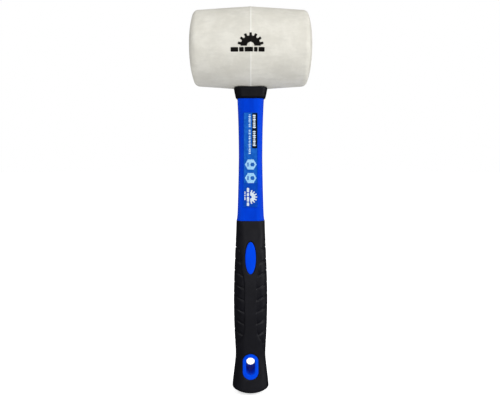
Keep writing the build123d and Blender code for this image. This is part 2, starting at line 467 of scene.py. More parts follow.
def bar_outline(centre_x, centre_z, width, height, corner):
    """A rounded rectangle."""
    outline = []
    for side_x, side_z, start in ((1, 1, 0), (-1, 1, 90), (-1, -1, 180), (1, -1, 270)):
        for step in range(4):
            angle = math.radians(start + step * 30)
            outline.append((
                centre_x + side_x * (width / 2 - corner) + corner * math.cos(angle),
                centre_z + side_z * (height / 2 - corner) + corner * math.sin(angle),
            ))
    return outline


def regular_outline(centre_x, centre_z, radius, sides):
    """A regular polygon."""
    angles = [2 * math.pi * i / sides for i in range(sides)]
    return [(centre_x + radius * math.cos(a), centre_z + radius * math.sin(a)) for a in angles]


def half_gear_outline(centre_x, centre_z, root, tip, teeth, hub, quarter_turn=False):
    """The upper half of a gear wheel with a half-round hub left open, lying flat or turned on its side."""
    points = []
    step = math.pi / teeth
    for tooth in range(teeth):
        for radius, share in ((root, 0.0), (root, 0.2), (tip, 0.3), (tip, 0.7), (root, 0.8)):
            points.append((radius, tooth * step + share * step))
    points.append((root, math.pi))
    for i in range(13):
        points.append((hub, math.pi * (1 - i / 12)))
    outline = []
    for radius, angle in points:
        along = radius * math.cos(angle)
        up = radius * math.sin(angle)
        across, rise = (up, -along) if quarter_turn else (along, up)
        outline.append((centre_x + across, centre_z + rise))
    return outline


# ---------------- materials


class Shader:
    """A Principled material that is built node by node."""

    def __init__(self, name, color, roughness, specular=0.5):
        self.material = bpy.data.materials.new(name)
        self.material.use_nodes = True
        self.nodes = self.material.node_tree.nodes
        self.links = self.material.node_tree.links
        self.surface = self.nodes["Principled BSDF"]
        self.surface.inputs["Base Color"].default_value = (*color, 1)
        self.surface.inputs["Roughness"].default_value = roughness
        self.surface.inputs["Specular IOR Level"].default_value = specular
        self.place = self.nodes.new("ShaderNodeTexCoord").outputs["Object"]

    def put(self, socket, value):
        """Link a socket, or set a plain value."""
        if isinstance(value, bpy.types.NodeSocket):
            self.links.new(value, socket)
        else:
            socket.default_value = value

    def scaled(self, x, y, z):
        """The place on the object, stretched along each axis."""
        node = self.nodes.new("ShaderNodeMapping")
        self.put(node.inputs["Vector"], self.place)
        node.inputs["Scale"].default_value = (x, y, z)
        return node.outputs["Vector"]

    def noise(self, per_metre, detail=3.0, rough=0.5, place=None, distortion=0.0):
        """Cloudy noise, by how many blobs fit in a metre."""
        node = self.nodes.new("ShaderNodeTexNoise")
        self.put(node.inputs["Vector"], place or self.place)
        values = {"Scale": per_metre, "Detail": detail, "Roughness": rough, "Distortion": distortion}
        for name, value in values.items():
            node.inputs[name].default_value = value
        return node.outputs["Fac"]

    def cells(self, per_metre):
        """Distance to the nearest of many scattered points."""
        node = self.nodes.new("ShaderNodeTexVoronoi")
        self.put(node.inputs["Vector"], self.place)
        node.inputs["Scale"].default_value = per_metre
        return node.outputs["Distance"]

    def sum(self, operation, first, second):
        """One arithmetic step."""
        node = self.nodes.new("ShaderNodeMath")
        node.operation = operation
        self.put(node.inputs[0], first)
        self.put(node.inputs[1], second)
        return node.outputs[0]

    def range(self, value, low, high, to_low=0.0, to_high=1.0):
        """A value moved smoothly from one range to another."""
        node = self.nodes.new("ShaderNodeMapRange")
        node.interpolation_type = "SMOOTHSTEP"
        self.put(node.inputs["Value"], value)
        values = {"From Min": low, "From Max": high, "To Min": to_low, "To Max": to_high}
        for name, bound in values.items():
            node.inputs[name].default_value = bound
        return node.outputs["Result"]

    def axis(self, letter):
        """One coordinate of the place on the object, in metres."""
        node = self.nodes.new("ShaderNodeSeparateXYZ")
        self.put(node.inputs[0], self.place)
        return node.outputs[letter]

    def mix(self, share, first, second):
        """A blend of two colours."""
        node = self.nodes.new("ShaderNodeMix")
        node.data_type = "RGBA"
        self.put(node.inputs["Factor"], share)
        for socket, color in ((node.inputs[6], first), (node.inputs[7], second)):
            self.put(socket, color if isinstance(color, bpy.types.NodeSocket) else (*color, 1))
        return node.outputs[2]

    def color(self, value):
        self.put(self.surface.inputs["Base Color"], value)

    def roughness(self, value):
        self.put(self.surface.inputs["Roughness"], value)

    def bump(self, height, depth_mm, strength):
        """Relief of the given depth, added on top of what is there."""
        node = self.nodes.new("ShaderNodeBump")
        node.inputs["Strength"].default_value = strength
        node.inputs["Distance"].default_value = depth_mm * MM
        self.put(node.inputs["Height"], height)
        normal = self.surface.inputs["Normal"]
        if normal.is_linked:
            self.put(node.inputs["Normal"], normal.links[0].from_socket)
        self.put(normal, node.outputs["Normal"])


def white_rubber():
    """Off-white vulcanised rubber: mottling, fine streaks, a few specks, and a painted highlight along the
    seam.
    """
    s = Shader("white_rubber", (0.66, 0.64, 0.58), 0.6, 0.25)
    clouds = s.range(s.noise(70, 5, 0.65), 0.35, 0.68)
    tone = s.mix(clouds, (0.580, 0.560, 0.495), (0.655, 0.635, 0.570))
    streaks = s.range(s.noise(240, 4, 0.65, s.scaled(0.3, 1, 1)), 0.4, 0.72)
    tone = s.mix(s.sum("MULTIPLY", streaks, 0.45), tone, (0.52, 0.505, 0.45))
    speck = s.range(s.cells(210), 0.045, 0.075, 1.0, 0.0)
    tone = s.mix(s.sum("MULTIPLY", speck, 0.25), tone, (0.42, 0.40, 0.35))
    # Painted highlight: the colour is made paler in a narrow band along the seam, where its raised flash
    # catches the light.
    seam = s.range(s.sum("ABSOLUTE", s.axis("X"), 0.0), 0.0003, 0.0007, 1.0, 0.0)
    tone = s.mix(s.sum("MULTIPLY", seam, 0.6), tone, (0.76, 0.75, 0.70))
    s.color(tone)
    s.roughness(s.range(s.noise(120, 3), 0.3, 0.7, 0.52, 0.68))
    s.bump(s.noise(70, 4, 0.6), 0.25, 0.45)
    s.bump(s.noise(420, 4, 0.65, s.scaled(0.5, 1, 1)), 0.06, 0.45)
    s.bump(s.noise(1500, 3, 0.6), 0.03, 0.4)
    return s.material


def black_rubber(name, shade, grain, specular=0.3):
    """Black soft-touch rubber with a fine spark-eroded grain and faint grey bloom."""
    deep = (shade, shade * 0.97, shade * 1.8)
    dusty = (shade * 1.7, shade * 1.65, shade * 2.8)
    s = Shader(name, deep, 0.5, specular)
    s.color(s.mix(s.range(s.noise(45, 5, 0.65), 0.4, 0.75), deep, dusty))
    s.roughness(s.range(s.noise(160, 4), 0.3, 0.7, 0.42, 0.58))
    s.bump(s.noise(grain, 4, 0.7), 0.05, 0.55)
    s.bump(s.cells(grain * 1.6), 0.03, 0.35)
    return s.material


def blue_plastic(name, dark, light, specular=0.16):
    """Satin blue polypropylene: faint flow marks along the handle and a fine moulded texture."""
    s = Shader(name, dark, 0.36, specular)
    s.surface.inputs["Specular Tint"].default_value = (0.03, 0.22, 1.0, 1.0)
    flow = s.range(s.noise(90, 4, 0.6, s.scaled(1, 1, 0.12), 0.6), 0.3, 0.7)
    s.color(s.mix(flow, dark, light))
    s.roughness(s.range(s.noise(240, 3), 0.3, 0.7, 0.30, 0.42))
    s.bump(s.noise(1300, 2, 0.6), 0.02, 0.35)
    s.bump(s.noise(70, 2, 0.5), 0.12, 0.2)
    return s.material


def printed_film(name, color, fade, roughness=0.32, specular=0.25, tint=(0.1, 0.35, 1.0)):
    """Printed ink under a thin laminate, with an uneven tone."""
    s = Shader(name, color, roughness, specular)
    s.surface.inputs["Specular Tint"].default_value = (*tint, 1)
    s.color(s.mix(s.range(s.noise(350, 4, 0.65), 0.35, 0.7), color, fade))
    s.roughness(s.range(s.noise(200, 2), 0.3, 0.7, roughness - 0.05, roughness + 0.08))
    s.bump(s.noise(1800, 2), 0.01, 0.3)
    return s.material


def cured_resin():
    """Dark two-part resin, glossy, with trapped bubbles."""
    s = Shader("cured_resin", (0.03, 0.026, 0.02), 0.18, 0.5)
    s.color(s.mix(s.range(s.noise(260, 4), 0.35, 0.7), (0.022, 0.02, 0.017), (0.075, 0.062, 0.045)))
    bubble = s.range(s.cells(700), 0.08, 0.2, 1.0, 0.0)
    s.bump(bubble, 0.12, 0.6)
    s.bump(s.noise(300, 3), 0.15, 0.4)
    return s.material


def glass_fibre():
    """The rod's pultruded surface: pale yellow, with long fibres."""
    s = Shader("glass_fibre", (0.55, 0.48, 0.28), 0.4, 0.5)
    fibres = s.noise(2500, 4, 0.7, s.scaled(1, 1, 0.02))
    s.color(s.mix(s.range(fibres, 0.35, 0.65), (0.42, 0.36, 0.19), (0.66, 0.60, 0.40)))
    s.bump(fibres, 0.03, 0.5)
    return s.material


def pale_floor():
    """A plain pale studio table, faintly lit from inside."""
    s = Shader("pale_floor", (0.9, 0.9, 0.9), 0.8, 0.1)
    s.color(s.mix(s.noise(3, 3), (0.91, 0.91, 0.90), (0.93, 0.93, 0.92)))
    s.surface.inputs["Emission Color"].default_value = (1, 1, 1, 1)
    s.surface.inputs["Emission Strength"].default_value = 0.62
    return s.material


# ---------------- the head


def head_radius(x):
    """The radius of the barrel away from its rims and its seam."""
    share = np.abs(x) / HEAD_HALF_LENGTH
    return HEAD_RADIUS + (HEAD_END_RADIUS - HEAD_RADIUS) * share


def head_front(x, z):
    """How far the head's front stands from the middle at (x, z)."""
    ridge = SEAM_HEIGHT * np.exp(-((x / SEAM_SPREAD) ** 2))
    reach = (head_radius(x) + ridge) ** 2 - (z - HEAD_Z) ** 2
    return np.sqrt(np.maximum(reach, 0))


def head_underside(x, y):
    """The height of the head's underside above (x, y)."""
    return HEAD_Z - np.sqrt(head_radius(x) ** 2 - y**2)


def build_head():
    """The barrel as rings about X: crowned faces with a flat disc, round rims, the seam's flash."""
    corner_x = HEAD_HALF_LENGTH - FACE_FALL
    corner_r = head_radius(corner_x)
    reach = corner_r - FACE_FLAT_RADIUS
    crown = (reach**2 + FACE_FALL**2) / (2 * FACE_FALL)
    crown_x = HEAD_HALF_LENGTH - crown
    # The rim's round touches the crown from inside and the cone from inside.
    taper = (HEAD_RADIUS - HEAD_END_RADIUS) / HEAD_HALF_LENGTH
    tilt = math.atan(taper)
    level = HEAD_RADIUS - RIM_RADIUS / math.cos(tilt) - FACE_FLAT_RADIUS
    a = 1 + taper**2
    b = -2 * (crown_x + taper * level)
    c = crown_x**2 + level**2 - (crown - RIM_RADIUS) ** 2
    rim_x = (-b + math.sqrt(b * b - 4 * a * c)) / (2 * a)
    rim_r = HEAD_RADIUS - RIM_RADIUS / math.cos(tilt) - taper * rim_x
    turn = math.atan2(rim_r - FACE_FLAT_RADIUS, rim_x - crown_x)
    on_crown = np.linspace(0, turn, 24)
    on_rim = np.linspace(turn, math.pi / 2 - tilt, 18)[1:]
    flat_r = np.linspace(1.2, FACE_FLAT_RADIUS, 6, endpoint=False)
    cone_start = rim_x + RIM_RADIUS * math.sin(tilt)
    cone_x = rows((cone_start, 2.0, 1.0), (2.0, 0.0, 0.16))[1:]
    x = np.concatenate([
        np.full(len(flat_r), HEAD_HALF_LENGTH),
        crown_x + crown * np.cos(on_crown),
        rim_x + RIM_RADIUS * np.cos(on_rim),
        cone_x,
    ])
    r = np.concatenate([
        flat_r,
        FACE_FLAT_RADIUS + crown * np.sin(on_crown),
        rim_r + RIM_RADIUS * np.sin(on_rim),
        head_radius(cone_x),
    ])
    x = np.concatenate([x, -x[-2::-1]])
    r = np.concatenate([r, r[-2::-1]])
    r = r + SEAM_HEIGHT * np.exp(-((x / SEAM_SPREAD) ** 2))
    angle = full_turn(300)
    ring_x = np.repeat(x[:, None], len(angle), 1)
    ring_y = r[:, None] * np.sin(angle)
    ring_z = r[:, None] * np.cos(angle)
    swell = 1 + HEAD_SWELL * wander(ring_x, ring_y, ring_z, 14.0, 3) - HEAD_SWELL
    ring_y = ring_y * swell
    ring_z = ring_z * swell + HEAD_Z
    width, depth, corner = section_at(EYE_STATIONS, ring_z, straight=True)
    gap = rounded_box_distance(ring_x, ring_y, width + BOND_GAP, depth + BOND_GAP, corner + BOND_GAP)
    soften = np.clip(1 - gap / EYE_LIP_WIDTH, 0, 1)
    fall = EYE_LIP_FALL * (1 - np.sqrt(1 - soften**2 * 0.98))
    ring_z = ring_z - np.where(ring_z > HEAD_Z, fall, 0)
    poles = [(side * HEAD_HALF_LENGTH, 0, HEAD_Z) for side in (1, -1)]
    head = grid_mesh("rubber_head", ring_x, ring_y, ring_z, *poles)
    heights = np.array([EYE_STATIONS[0][0], EYE_STATIONS[1][0]])
    columns = section_columns(96, *EYE_QUARTER)
    eye_x, eye_y = section_points(columns, section_at(EYE_STATIONS, heights), BOND_GAP)
    eye_z = np.repeat(heights[:, None], eye_x.shape[1], 1)
    eye = grid_mesh("eye", eye_x, eye_y, eye_z, (0, 0, heights[0]), (0, 0, heights[1]))
    new_piece("head_rubber_body", cut(head, eye), white_rubber(), "head_rubber", "rubber_head")


def build_head_mark():
    """A plain half gear over a broken bar, printed across the seam."""
    gear = (GEAR_ROOT_RADIUS, GEAR_TIP_RADIUS, GEAR_TEETH, GEAR_HUB_RADIUS)
    outlines = [half_gear_outline(0.0, GEAR_BASE_Z, *gear)]
    start = node_box("head_mark")[0][0]
    for length in MARK_BAR_LENGTHS:
        outlines.append(bar_outline(start + length / 2, MARK_BAR_Z, length, MARK_BAR_HEIGHT, 0.5))
        start += length + MARK_BAR_GAP
    plates = [plate(outline, head_front, 0.12, 0.2, 0.7, SEAM_CUTS) for outline in outlines]
    ink = printed_film("black_ink", (0.004, 0.003, 0.0025), (0.007, 0.006, 0.005), 0.55, 0.08, (1, 1, 1))
    new_piece("head_print", joined(plates), ink, "print_ink", "head_mark", sharp=60)


# ---------------- collar and resin


def build_collar():
    """The flared collar: a chamfered foot, straight sides and a rounded top against the head."""
    count = 168
    columns = section_columns(count, *COLLAR_QUARTER)
    touch_z = np.full(count, 268.0)  # a first guess, which the loop brings onto the head
    for _ in range(8):
        shape = section_at(COLLAR_STATIONS, touch_z, straight=True)
        x, y = [np.diagonal(v) for v in section_points(columns, shape)]
        touch_z = head_underside(x, y)
    level_top = head_underside(0.0, COLLAR_STATIONS[2][2] / 2 - 0.4) - 0.25
    touch_z = np.minimum(touch_z, level_top)
    foot = COLLAR_STATIONS[0][0]
    lip = COLLAR_STATIONS[1][0]
    heights, grows = [], []
    for height, grow in ((foot, -0.35), (foot + 0.5, 0.0), (lip - 0.25, 0.0), (lip, -0.05)):
        heights.append(np.full(count, height))
        grows.append(grow)
    for share in np.linspace(0, 1, 16)[1:]:
        heights.append(lip + LIP_ROUND + (touch_z - COLLAR_TOP_RADIUS - lip - LIP_ROUND) * share)
        grows.append(0.0)
    for step in range(1, 9):
        turn = step / 8 * math.pi / 2
        heights.append(touch_z - COLLAR_TOP_RADIUS * (1 - math.sin(turn)))
        grows.append(-COLLAR_TOP_RADIUS * (1 - math.cos(turn)))
    ring_x, ring_y, ring_z = [], [], []
    for height, grow in zip(heights, grows):
        shape = section_at(COLLAR_STATIONS, np.minimum(height, touch_z), straight=True)
        x, y = [np.diagonal(v) for v in section_points(columns, shape, grow)]
        ring_x.append(x)
        ring_y.append(y)
        ring_z.append(np.minimum(height, head_underside(x, y) - 0.02))
    for height in (None, foot):
        level = touch_z if height is None else np.full(count, height)
        shape = section_at(EYE_STATIONS, level, straight=True)
        x, y = [np.diagonal(v) for v in section_points(columns, shape, 0.05)]
        ring_x.append(x)
        ring_y.append(y)
        ring_z.append(head_underside(x, y) - 0.02 if height is None else level)
    mesh = grid_mesh("neck_collar", np.array(ring_x), np.array(ring_y), np.array(ring_z), loop=True)
    material = black_rubber("collar_black", 0.0032, 1500, 0.22)
    new_piece("collar_flared", mesh, material, "collar_rubber", "neck_collar")


def build_resin():
    """The resin in the eye: a pool with a raised rim over the tenon, and the layer round it."""
    columns = section_columns(120, *EYE_QUARTER)
    outer, inner = BOND_GAP - 0.03, 0.03
    foot, tip = RESIN_BOTTOM_Z + 2.2, TENON_TOP_Z + 0.05
    pool = 22
    # Each ring is (height, how far it stands off the eye's section, its scale).
    rings = [
        (RESIN_TOP_Z - RESIN_DISH + 0.7 * share**7, outer, share)
        for share in np.linspace(0.06, 1.0, pool)
    ]
    rings += [(level, outer, 1.0) for level in rows((RESIN_TOP_Z - 0.2, foot, 4.0))]
    rings += [(level, inner, 1.0) for level in rows((foot, tip, 4.0))]
    rings += [(tip, inner, share) for share in (0.6, 0.2)]
    levels, grows, scales = np.array(rings).T[:, :, None]
    x, y = section_points(columns, section_at(EYE_STATIONS, levels, straight=True), grows)
    x = x * scales
    y = y * scales
    z = levels + 0 * x
    z[:pool] += 0.12 * wander(x[:pool], y[:pool], z[:pool], 2.5, 8) * (1 - scales[:pool] ** 6)
    poles = [(0, 0, RESIN_TOP_Z - RESIN_DISH), (0, 0, tip)]
    mesh = grid_mesh("eye_epoxy", x, y, z, *poles)
    new_piece("eye_resin", mesh, cured_resin(), "epoxy", "eye_epoxy")


# ---------------- handle jacket and label


def panel_lift(x, z):
    """How far the label's panel raises the surface of the shaft at (x, z)."""
    gap = rounded_box_distance(x, z - LABEL_Z, PANEL_SIZE[0] / 2, PANEL_SIZE[1] / 2, 1.2)
    return PANEL_PROUD * smoothstep(0.16, -0.30, gap)


def build_jacket():
    """The blue jacket: the part in the grip, the shoulder, the shaft with its panels, the tenon."""
    columns = section_columns(208, *SHAFT_QUARTER)
    low, high = LABEL_Z - PANEL_SIZE[1] / 2, LABEL_Z + PANEL_SIZE[1] / 2
    fine, coarse = 0.16, 0.9
    parts = []
    core = rows((CORE_BOTTOM_Z, SHOULDER_Z, 9.0))
    x, y = section_points(columns, section_at(CORE_STATIONS, core), -0.03)
    parts.append((x, y, core[:, None] + 0 * x))
    shaft = rows(
        (SHOULDER_Z, SHOULDER_Z + 1.0, fine),
        (SHOULDER_Z + 1.0, low - 1.0, coarse),
        (low - 1.0, low + 1.0, fine),
        (low + 1.0, high - 1.0, coarse),
        (high - 1.0, high + 1.0, fine),
        (high + 1.0, NECK_Z - 1.0, coarse),
        (NECK_Z - 1.0, NECK_Z, fine),
    )
    edge = np.minimum(shaft - SHOULDER_Z, NECK_Z - shaft)
    edge_radius = 0.5
    tuck = edge_radius * (1 - np.sqrt(1 - np.clip(1 - edge / edge_radius, 0, 1) ** 2))
    x, y = section_points(columns, section_at(SHAFT_STATIONS, shaft))
    z = shaft[:, None] + 0 * x
    lift = panel_lift(x, z) * (np.abs(columns[3]) > 0.35) - tuck[:, None]
    sag = 0.05 * wander(x, y, z, 9.0, 5)
    x = x + columns[2] * (lift + sag * 0.5)
    y = y + columns[3] * (lift + sag * 0.5)
    parts.append((x, y, z))
    tenon = rows((NECK_Z, TENON_TOP_Z, 0.75))
    rib = np.zeros(len(tenon))
    for height in RIB_HEIGHTS:
        rib = np.maximum(rib, smoothstep(RIB_HALF_THICKNESS + 0.4, RIB_HALF_THICKNESS, abs(tenon - height)))
    grow = rib * RIB_PROUD - 0.02
    x, y = section_points(columns, section_at(EYE_STATIONS, tenon, straight=True), grow[:, None])
    parts.append((x, y, tenon[:, None] + 0 * x))
    bore = rows((TENON_TOP_Z, ROD_BOTTOM_Z, 12.0))
    angle = np.arctan2(parts[1][1][0], parts[1][0][0])
    x = (ROD_RADIUS + 0.02) * np.cos(angle) + 0 * bore[:, None]
    y = (ROD_RADIUS + 0.02) * np.sin(angle) + 0 * bore[:, None]
    parts.append((x, y, bore[:, None] + 0 * x))
    x, y, z = [np.vstack([part[i] for part in parts]) for i in range(3)]
    mesh = grid_mesh("handle_jacket", x, y, z, (0, 0, CORE_BOTTOM_Z), (0, 0, ROD_BOTTOM_Z))
    mesh = cut(mesh, slot_column(EYELET_BODY_RADIUS, EYELET_BODY_HALF_STRAIGHT))
    material = blue_plastic("jacket_blue", (0.0006, 0.032, 0.46), (0.0012, 0.052, 0.62))
    new_piece("jacket_blue_shell", mesh, material, "jacket_plastic", "handle_jacket")


def slot_column(radius, half_straight, reach=20.0):
    """An upright slot at the hang hole, as a column from front to back."""
    angle = full_turn(72)
    x = radius * np.cos(angle)
    z = EYELET_Z + radius * np.sin(angle) + np.where(np.sin(angle) >= 0, 1, -1) * half_straight
    ring_y = np.array([[-reach], [reach]]) + 0 * x
    return grid_mesh(
        "slot", np.array([x, x]), ring_y, np.array([z, z]), (0, -reach, EYELET_Z), (0, reach, EYELET_Z)
    )


def panel_front(x, z):
    """How far the front of the label's panel stands from the middle."""
    return front_depth(SHAFT_STATIONS, x, z) + PANEL_PROUD


def dashes(centre_x, top_z, width, lengths, gap):
    """A column of plain bars of different lengths, running down from top_z."""
    outlines = []
    for length in lengths:
        outlines.append(bar_outline(centre_x, top_z - length / 2, width, length, width * 0.3))
        top_z -= length + gap
    return outlines


def build_label():
    """The label: a blue film with plain shapes where the real one has words and marks."""
    width, height = LABEL_SIZE
    top = LABEL_Z + height / 2
    film = plate(bar_outline(0, LABEL_Z, width, height, 0.8), panel_front, 0.14, 0.13)
    film_ink = printed_film("label_blue", (0.001, 0.042, 0.34), (0.002, 0.055, 0.42))
    new_piece("label_film", film, film_ink, "label_film", "label_front", sharp=60)

    pale_top = top - 0.5
    pale = bar_outline(
        -0.1, (pale_top + PALE_BOTTOM_Z) / 2, width - 0.9, pale_top - PALE_BOTTOM_Z, 0.5
    )
    icons = [regular_outline(0.1, z, 4.9, 6) for z in ICON_HEIGHTS]
    on_icons = [regular_outline(1.6, z, 1.9, 6) for z in ICON_HEIGHTS]
    on_icons += [bar_outline(-2.2, z, 1.0, 3.6, 0.3) for z in ICON_HEIGHTS]
    emblem = [half_gear_outline(-0.3, EMBLEM_Z, 4.1, 5.9, 7, 1.3, quarter_turn=True)]
    emblem += dashes(-2.2, EMBLEM_BARS_TOP_Z, 1.9, (3.8, 2.6, 4.2, 3.0), 0.6)
    small = dashes(-4.8, SMALL_BARS_TOP_Z, 0.9, (2.2, 1.4, 2.6), 0.6)
    black_top = top - 0.6
    black_bar = bar_outline(
        3.45, (black_top + BLACK_BAR_BOTTOM_Z) / 2, 4.3, black_top - BLACK_BAR_BOTTOM_Z, 0.3
    )
    on_black = dashes(3.1, top - 2.0, 2.5, (1.5, 1.0, 1.5, 0.7, 1.2, 1.2, 1.5), 0.42)
    on_black += dashes(3.1, top - 15.4, 2.5, (1.3, 1.0, 1.5, 1.2, 0.8, 1.4, 1.0, 1.5), 0.42)
    first_line = (0.7, 1.1, 0.8, 1.2, 0.9, 0.6, 1.1, 0.9)
    second_line = (1.0, 0.8, 1.1, 0.6, 0.9, 1.2, 0.8, 1.0, 0.7, 1.1, 0.9, 0.8, 1.2, 0.9, 1.1)
    line = dashes(-0.8, top - 1.8, 1.9, first_line, 0.45)
    line += dashes(-0.8, top - 14.4, 1.9, second_line, 0.45)
    prints = (
        ("label_print_light", [pale], 0.19, (0.003, 0.070, 0.38), (0.012, 0.115, 0.48)),
        ("label_print_icons", icons, 0.24, (0.26, 0.50, 0.72), (0.33, 0.56, 0.76)),
        ("label_print_deep", on_icons, 0.29, (0.010, 0.075, 0.33), (0.02, 0.12, 0.42)),
        ("label_print_black", [black_bar], 0.24, (0.002, 0.002, 0.003), (0.005, 0.005, 0.006)),
        ("label_print_line", line, 0.24, (0.36, 0.56, 0.80), (0.44, 0.62, 0.82)),
        ("label_print_white", emblem + small + on_black, 0.29, (0.55, 0.62, 0.68), (0.66, 0.70, 0.72)),
    )
    for name, outlines, lift, color, fade in prints:
        plates = [plate(outline, panel_front, lift, 0.09, 1.6) for outline in outlines]
        new_piece(name, joined(plates), printed_film(name, color, fade), "label_film", sharp=60)


# ---------------- grip, inlays and eyelet


def tread_sink(x, z, normal_y):
    """How deep the tread is cut into the grip at (x, z).

    Its grooves get deeper towards the sides, and its pads drop and are scooped beside the spine.
    """
    away = np.abs(x)
    knots, edges = zip(*TREAD_EDGE)
    edge = smooth_curve(z, knots, edges)
    edge_slope = (smooth_curve(z + 0.3, knots, edges) - smooth_curve(z - 0.3, knots, edges)) / 0.6
    inside = (away - edge) / np.sqrt(1 + edge_slope**2)
    within = smoothstep(knots[0], knots[0] + 2, z) * smoothstep(knots[-1], knots[-1] - 1.0, z)
    bend = 0.9 * smoothstep(102, 118, z) * np.clip((10.5 - away) / 4, 0, 1) ** 1.5
    drop = TREAD_TOP_Z + TREAD_SLOPE * (away - TREAD_SIDE_X) - bend - z
    nearest = np.clip(np.round(drop / TREAD_PITCH), 0, TREAD_COUNT - 1)
    across = (drop - nearest * TREAD_PITCH) / np.sqrt(1 + (TREAD_SLOPE * normal_y) ** 2)
    groove = smoothstep(TREAD_HALF_WIDTH + 0.22, TREAD_HALF_WIDTH - 0.42, np.abs(across))
    deeper = 1 + SIDE_DEEPENING - SIDE_DEEPENING * np.abs(normal_y)
    groove = groove * smoothstep(0.05, 0.75, inside) * TREAD_DEPTH * deeper
    step = PAD_STEP * smoothstep(0.0, 0.45, inside) * np.exp(-np.maximum(inside, 0) / 3.0)
    fall = np.mod(drop / TREAD_PITCH, 1.0) ** 2 * (drop < (TREAD_COUNT - 1) * TREAD_PITCH)
    scoop = PAD_SCOOP * fall * smoothstep(0.0, 0.5, inside)
    scoop = scoop * np.exp(-np.maximum(inside - 1.5, 0) / 2.6)
    return np.maximum(groove, (step + scoop) * smoothstep(13.4, 12.0, away)) * within


def seat_sink(x, z):
    """How deep the seats of the inlay and the eyelet are cut into the grip at (x, z)."""
    oval = oval_distance(x, z - INLAY_Z, INLAY_SIZE[0] / 2, INLAY_SIZE[1] / 2)
    slot = slot_distance(x, z - EYELET_Z, EYELET_FLANGE_RADIUS, EYELET_FLANGE_HALF_STRAIGHT)
    gap = np.minimum(oval, slot)
    return SEAT_DEPTH * smoothstep(0.22, -0.12, gap) + SEAT_ROUND * smoothstep(0.7, 0.1, gap)


def rounded_ring(axes, edge, rings=7, reach=5, spread=2.6):
    """The axes of a mesh, with the crease at one ring averaged away over the rings beside it."""
    kernel = np.exp(-0.5 * (np.arange(-reach, reach + 1) / spread) ** 2)
    kernel /= kernel.sum()
    rounded = []
    for axis in axes:
        smooth = axis.copy()
        for ring in range(edge - rings, edge + rings + 1):
            smooth[ring] = (kernel[:, None] * axis[ring - reach : ring + reach + 1]).sum(0)
        rounded.append(smooth)
    return rounded


def build_grip():
    """The soft grip: domed butt, tread, seats for the inlays and the eyelet, and its bore."""
    count = 208
    columns = section_columns(count, *GRIP_QUARTER)
    edge_z = np.full(count, 5.0)
    for _ in range(6):
        x, y = [np.diagonal(v) for v in section_points(columns, section_at(GRIP_STATIONS, edge_z))]
        edge_z = BUTT_DOME_RADIUS - np.sqrt(BUTT_DOME_RADIUS**2 - x**2 - y**2)
    edge_x, edge_y = x, y
    share = np.linspace(0.03, 1, 34)[:, None]
    dome_x, dome_y = share * edge_x, share * edge_y
    dome_z = BUTT_DOME_RADIUS - np.sqrt(BUTT_DOME_RADIUS**2 - dome_x**2 - dome_y**2)
    level_z = 12.0
    rise = np.linspace(0, 1, 17)[1:, None]
    foot_z = edge_z + (level_z - edge_z) * rise
    foot = [section_at(GRIP_STATIONS, foot_z[:, i]) for i in range(count)]
    foot_x = np.empty_like(foot_z)
    foot_y = np.empty_like(foot_z)
    for i in range(count):
        one = [c[i : i + 1] for c in columns]
        foot_x[:, i : i + 1], foot_y[:, i : i + 1] = section_points(one, foot[i])
    side = rows((level_z, SHOULDER_Z - 0.8, 0.44), (SHOULDER_Z - 0.8, SHOULDER_Z, 0.16))[1:]
    tuck = 0.5 * (1 - np.sqrt(1 - np.clip(1 - (SHOULDER_Z - side) / 0.5, 0, 1) ** 2))
    side_x, side_y = section_points(columns, section_at(GRIP_STATIONS, side), -tuck[:, None])
    x = np.vstack([dome_x, foot_x, side_x])
    y = np.vstack([dome_y, foot_y, side_y])
    z = np.vstack([dome_z, foot_z, side[:, None] + 0 * side_x])
    x, y, z = rounded_ring((x, y, z), len(dome_x) - 1)
    sink = tread_sink(x, z, columns[3]) + seat_sink(x, z)
    sink = sink * smoothstep(9.0, 12.0, z) - 0.04 * wander(x, y, z, 7.0, 11)
    x = x - columns[2] * sink
    y = y - columns[3] * sink
    inner = rows((SHOULDER_Z, CORE_BOTTOM_Z, 9.0))
    inner_x, inner_y = section_points(columns, section_at(CORE_STATIONS, inner))
    x = np.vstack([x, inner_x])
    y = np.vstack([y, inner_y])
    z = np.vstack([z, inner[:, None] + 0 * inner_x])
    mesh = grid_mesh("grip_sleeve", x, y, z, (0, 0, 0), (0, 0, CORE_BOTTOM_Z))
    mesh = cut(mesh, slot_column(EYELET_BODY_RADIUS, EYELET_BODY_HALF_STRAIGHT))
    material = black_rubber("grip_black", 0.0038, 1200)
    new_piece("grip_soft", mesh, material, "grip_rubber", "grip_sleeve", sharp=50)


def build_inlay(name, node, side, material):
    """One oval inlay: a crowned face with a rounded edge, and a skirt down into its seat."""
    half_x, half_z = INLAY_SIZE[0] / 2 - 0.08, INLAY_SIZE[1] / 2 - 0.08
    angle = full_turn(128)
    face, rim = 0.86, 0.14  # the shares of the way out that are crowned and rounded off
    turn = np.linspace(0, math.pi / 2, 9)[1:]
    share = np.concatenate([np.linspace(0.05, face, 16), face + rim * np.sin(turn)])
    x = share[:, None] * half_x * np.cos(angle)
    z = share[:, None] * half_z * np.sin(angle)
    edge = np.clip((share - face) / rim, 0, 1)
    crown = INLAY_PROUD + 0.12 - 0.22 * share**2 - 0.55 * (1 - np.sqrt(1 - edge**2 * 0.999))
    depth = front_depth(GRIP_STATIONS, x, z + INLAY_Z) + crown[:, None]
    skirt = 1.3
    x = np.vstack([x, x[-1:], 0.5 * x[-1:]])
    z = np.vstack([z, z[-1:], 0.5 * z[-1:]])
    depth = np.vstack([depth, depth[-1:] - skirt, np.full((1, len(angle)), depth[-1].mean() - skirt)])
    poles = [(0, side * depth[0].mean(), INLAY_Z), (0, side * depth[-1].mean(), INLAY_Z)]
    mesh = grid_mesh(name, x, side * depth, z + INLAY_Z, *poles)
    new_piece(name, mesh, material, "inlay_plastic", node)


